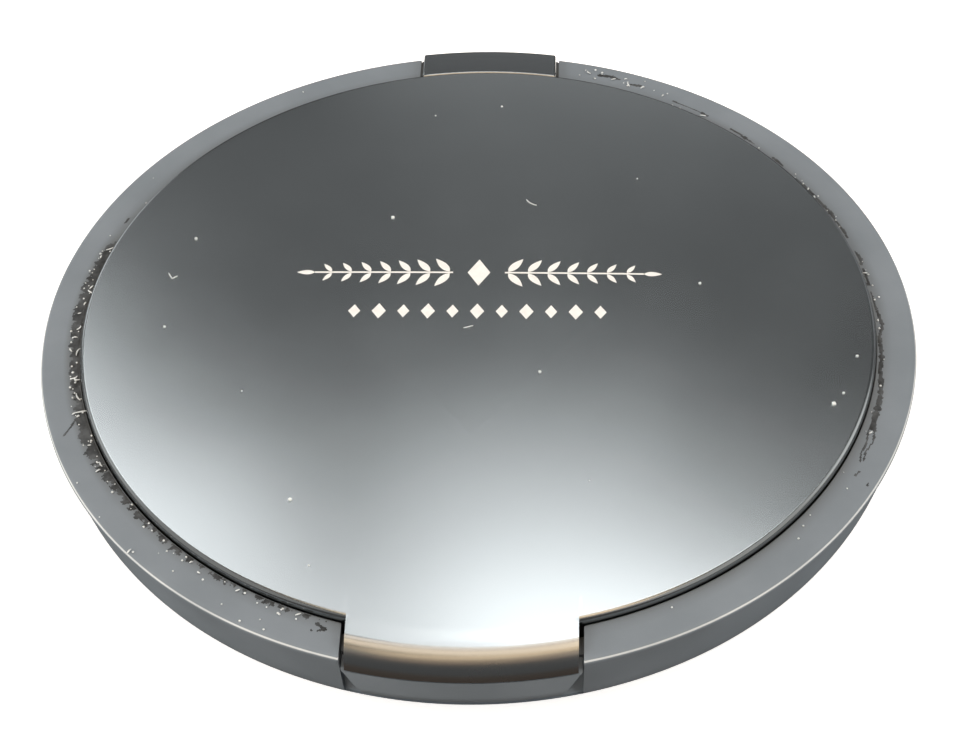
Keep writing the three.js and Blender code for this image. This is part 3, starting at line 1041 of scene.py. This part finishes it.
# Lint on the lid: x, y and radius
LID_SPECKS = (
    (-25.8, 9.8, 0.15), (-8.1, 12.6, 0.16), (1.4, 28.9, 0.1), (30.2, -10.2, 0.2), (31.1, -8.9, 0.12),
    (-14.4, -21.5, 0.17), (-27.2, -1.6, 0.12), (5.6, -7.0, 0.13), (19.5, 4.2, 0.12), (-12.3, -28.3, 0.09),
    (32.6, -4.5, 0.13), (-4.9, 27.5, 0.07), (14.2, 18.3, 0.07), (-19.6, -9.4, 0.07), (9.8, -19.2, 0.06),
)
# Fibres on the lid: x, y, heading, length, bend
LID_FIBRES = (
    (-27.5, 4.9, -60, 0.9, 20), (-27.1, 4.7, 40, 0.6, 20), (4.5, 14.8, -40, 1.3, 60),
    (-0.7, -1.6, 20, 0.9, 30),
)


def lid_dust():
    bm = bmesh.new()
    for index, (x, y, radius) in enumerate(LID_SPECKS):
        lump(bm, on_crown(x, y, 0.4 * radius), radius, index)
    for x, y, heading, length, bend in LID_FIBRES:
        curl(bm, on_crown(x, y, 0), heading, length, bend, width=0.09, lift=0.05)
    return finish_mesh("lid_lint", bm, sharp=50)


# ---- printed ornament

INK_HEIGHT = 0.015
INK_SUNK = 0.03


def inked_shape(bm, outline):
    """A flat printed shape: a thin closed prism that follows the crowned lid."""
    heights = (INK_HEIGHT, -INK_SUNK)
    loft(bm, [[bm.verts.new(on_crown(x, y, above)) for x, y in outline] for above in heights])


def leaf_outline(x, y, length, width, degrees):
    """A pointed oval that grows from (x, y) in the given direction."""
    steps = 8
    turned = math.radians(degrees)
    ahead = Vector((math.cos(turned), math.sin(turned)))
    across = Vector((-ahead.y, ahead.x))

    def swell(t):
        return math.sin(math.pi * t ** 0.8) ** 0.9

    right = [(i / steps, swell(i / steps)) for i in range(steps)]
    left = [(1 - i / steps, -swell(1 - i / steps)) for i in range(steps)]
    start = Vector((x, y))
    return [tuple(start + ahead * length * t + across * width / 2 * w) for t, w in right + left]


def lozenge_outline(x, y, half_width, half_height):
    return [(x - half_width, y), (x, y - half_height), (x + half_width, y), (x, y + half_height)]


def sprig_side(bm, side, y):
    """One half of the sprig: a stem with leaf pairs that shrink outwards."""
    pairs = 7
    for pair in range(pairs):
        x = side * (2.6 + 1.75 * pair)
        size = 1 - 0.07 * pair
        for up in (-1, 1):
            lean = 52 * up
            heading = lean if side > 0 else 180 - lean
            inked_shape(bm, leaf_outline(x, y + 0.12 * up, 2.1 * size, 0.72 * size, heading))
    inked_shape(bm, leaf_outline(side * 14.6, y, 1.6, 0.55, 0 if side > 0 else 180))
    length = 2.05
    half = 0.09
    for part in range(6):
        near = side * (2.3 + length * part)
        far = near + side * length
        stem = [(near, y - half), (far, y - half), (far, y + half), (near, y + half)]
        inked_shape(bm, stem[::side])


def lid_ornament():
    """A plain sprig above a row of lozenges, where a lid like this carries print."""
    bm = bmesh.new()
    sprig_y = 5.3
    inked_shape(bm, lozenge_outline(0, sprig_y, 1.0, 1.7))
    for side in (-1, 1):
        sprig_side(bm, side, sprig_y)
    row_y = 0.35
    for index in range(-5, 6):
        size = 0.85 if index % 2 else 1.0
        inked_shape(bm, lozenge_outline(2.15 * index, row_y, 0.62 * size, 0.95 * size))
    return finish_mesh("lid_ornament", bm, sharp=30)


# ---- stage

def ground(name, height, low, high, glow):
    """A large level plane with a faintly uneven colour."""
    bpy.ops.mesh.primitive_plane_add(size=3, location=(0, 0.4, height * MM))
    plane = bpy.context.object
    plane.name = name
    m = Nodes(name).set(Roughness=0.9, Specular_IOR_Level=0.2)
    m.set(Emission_Color=(1, 1, 1, 1), Emission_Strength=glow)
    m.to(Base_Color=m.mix(m.noise(3, detail=2), low, high))
    plane.data.materials.append(m.material)
    plane.visible_shadow = False
    return plane


def stage():
    """A pale floor for the camera, over a brown table top for what the object reflects."""
    floor = ground("pale_floor", 0, (0.8, 0.8, 0.8), (0.83, 0.83, 0.83), 0.7)
    floor.visible_glossy = False
    floor.visible_diffuse = False
    table = ground("brown_table", -1, (0.075, 0.062, 0.056), (0.09, 0.074, 0.067), 0)
    table.visible_camera = False


# Softboxes a metre away: azimuth from the rear towards +X, elevation, width and height, all in
# degrees, then brightness and, unless it is white, colour
SOFTBOXES = {
    "key": (5, 60, 11.5, 10, 3.8),
    "key_left": (-11, 58, 5.5, 7, 1.5),
    "key_right": (21, 58, 5.5, 7, 4.0),
    "key_under": (-1, 52, 10, 6, 1.15),
    "window": (-32, 45, 14, 11, 1.9),
    "window_high": (-25, 53, 12, 8, 2.5),
    "window_far": (-47, 45, 14, 12, 0.48),
    "rear_low": (5, 30, 22, 8, 0.6),
    "rear_wide": (0, 38, 50, 8, 0.11),
    "horizon_left": (-38, 14, 24, 24, 1.0),
    "horizon_right": (38, 14, 24, 24, 0.3),
    "top": (0, 72, 26, 12, 1.9, (1, 0.84, 0.7)),
    "ceiling": (0, 90, 34, 20, 1.85, (1, 0.78, 0.57)),
    "ceiling_front": (165, 71, 46, 16, 1.35, (1, 0.72, 0.45)),
    "ceiling_dim": (168, 54, 50, 14, 0.42, (1, 0.68, 0.45)),
    "room_front": (180, 20, 100, 50, 0.06, (1, 0.95, 0.93)),
    "side_left": (-68, 22, 24, 36, 0.3),
    "side_right": (68, 22, 24, 36, 0.5),
    "dim_left": (-95, 36, 70, 60, 0.32, (1, 0.95, 0.9)),
    "dim_right": (95, 36, 70, 60, 0.5, (1, 0.95, 0.9)),
    "front_left": (-103, 20, 44, 38, 3.65, (1, 0.95, 0.87)),
    "front_right": (103, 20, 44, 38, 2.9, (1, 0.95, 0.87)),
    "front_low": (-160, 12, 50, 20, 2.2, (1, 0.88, 0.74)),
}
# Fill lights that the shiny parts don't show
MATT_ONLY = ("front_left", "front_right", "front_low")
WORLD_STRENGTH = 0.06


def softbox(name, azimuth, elevation, width, height, brightness, colour=(1, 1, 1)):
    distance = 1.0
    watts_per_area = 4
    raised = math.radians(elevation)
    straight_back = Vector((0, math.cos(raised), math.sin(raised)))
    towards = Euler((0, 0, -math.radians(azimuth))).to_matrix() @ straight_back
    data = bpy.data.lights.new(name, "AREA")
    data.shape = "RECTANGLE"
    data.size = 2 * distance * math.tan(math.radians(width / 2))
    data.size_y = 2 * distance * math.tan(math.radians(height / 2))
    data.energy = watts_per_area * brightness * data.size * data.size_y
    data.color = colour
    light = bpy.data.objects.new(name, data)
    light.location = towards * distance
    light.visible_glossy = name not in MATT_ONLY
    light.rotation_euler = (-towards).to_track_quat("-Z", "Y").to_euler()
    bpy.context.scene.collection.objects.link(light)


def lights():
    world = bpy.data.worlds.new("studio")
    world.use_nodes = True
    background = world.node_tree.nodes["Background"]
    background.inputs["Color"].default_value = (0.95, 0.98, 1.0, 1)
    background.inputs["Strength"].default_value = WORLD_STRENGTH
    bpy.context.scene.world = world
    for name, values in SOFTBOXES.items():
        softbox(name, *values)


def camera():
    """The camera looks down at the front at about 44 degrees, with a slight roll."""
    data = bpy.data.cameras.new("camera")
    data.sensor_width = 36
    data.lens = 86.25
    tilt = math.radians(135.625)
    roll = math.radians(1.885)
    yaw = math.radians(-0.6)
    view = Euler((tilt, roll, 0), "XYZ").to_matrix() @ Matrix.Rotation(yaw, 3, "Z")
    # Where the rim's centre lies from the camera: right, down and ahead
    rim_from_camera = Vector((-0.24, -4.77, 201.12))
    place = Vector((0, 0, RIM_TOP)) - view.transposed() @ rim_from_camera
    cam = bpy.data.objects.new("camera", data)
    turn_back = view.transposed() @ Matrix(((1, 0, 0), (0, -1, 0), (0, 0, -1)))
    cam.matrix_world = Matrix.Translation(place * MM) @ turn_back.to_4x4()
    bpy.context.scene.collection.objects.link(cam)
    bpy.context.scene.camera = cam


# ---- assembly

def build():
    coat = soft_touch()
    cheek = gloss_plastic("cheek_plastic", (0.1, 0.117, 0.132), (0.126, 0.144, 0.16), 0.55, 0.65)
    tray_plastic = gloss_plastic("tray_gloss", (0.028, 0.029, 0.031), (0.035, 0.036, 0.038), 0.16, 0.24)
    lid_plastic = gloss_plastic("lid_gloss", (0.045, 0.047, 0.05), (0.055, 0.057, 0.06), 0.3, 0.38)
    aluminium = brushed("drawn_aluminium", (0.72, 0.73, 0.74), 0.3)
    steel = brushed("ground_steel", (0.6, 0.6, 0.61), 0.25)
    lacquer = satin("satin_gunmetal", (0.347, 0.372, 0.381), 0.2)
    # Painted shade: the knuckle gets a darker copy of the lid plate's satin lacquer.
    knuckle_shaded_lacquer = satin("knuckle_satin_shaded", (0.262, 0.28, 0.288), 0.2)
    torn = chips("torn_coating", (0.026, 0.03, 0.034), (0.085, 0.096, 0.107), 0.8)
    pale = chips("pale_flakes", (0.56, 0.61, 0.64), (0.78, 0.84, 0.88), 0.55)
    dress(base_shell(), "base", "soft_touch_shell", coat, "base_shell")
    dress(thumb_ledge(), "base", "soft_touch_shell", coat)
    dress(hinge_cheeks(), "base", "soft_touch_shell", cheek)
    dress(base_tray(), "base", "tray_plastic", tray_plastic, "base_tray")
    dress(powder_pan(), "base", "pan_metal", aluminium, "powder_pan")
    dress(powder_cake(), "base", "pressed_powder", powder(), "powder_cake")
    dress(hinge_pin(), "base", "pin_steel", steel, "hinge_pin")
    dress(base_label(), "base", "blank_label", paper_label(), "base_label")
    dress(lid_plate(), "lid", "metallised_lid", lacquer, "lid_plate")
    dress(lid_body(), "lid", "lid_plastic", lid_plastic, "lid_body")
    dress(hinge_knuckle(), "lid", "lid_plastic", knuckle_shaded_lacquer)
    dress(mirror(), "lid", "mirror_glass", mirror_glass(), "mirror")
    dress(torn_coating(), "base", "soft_touch_shell", torn)
    dress(rim_flakes(), "base", "soft_touch_shell", pale)
    dress(rim_specks(), "base", "soft_touch_shell", pale)
    dress(lid_dust(), "lid", "metallised_lid", pale)
    dress(lid_ornament(), "lid", "metallised_lid", white_ink())
    tape = foam_tape()
    for node in ("pan_adhesive", "mirror_adhesive"):
        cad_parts[node].data.materials.clear()
        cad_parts[node].data.materials.append(tape)


bpy.context.scene.view_settings.view_transform = "Standard"
camera()
build()
stage()
lights()
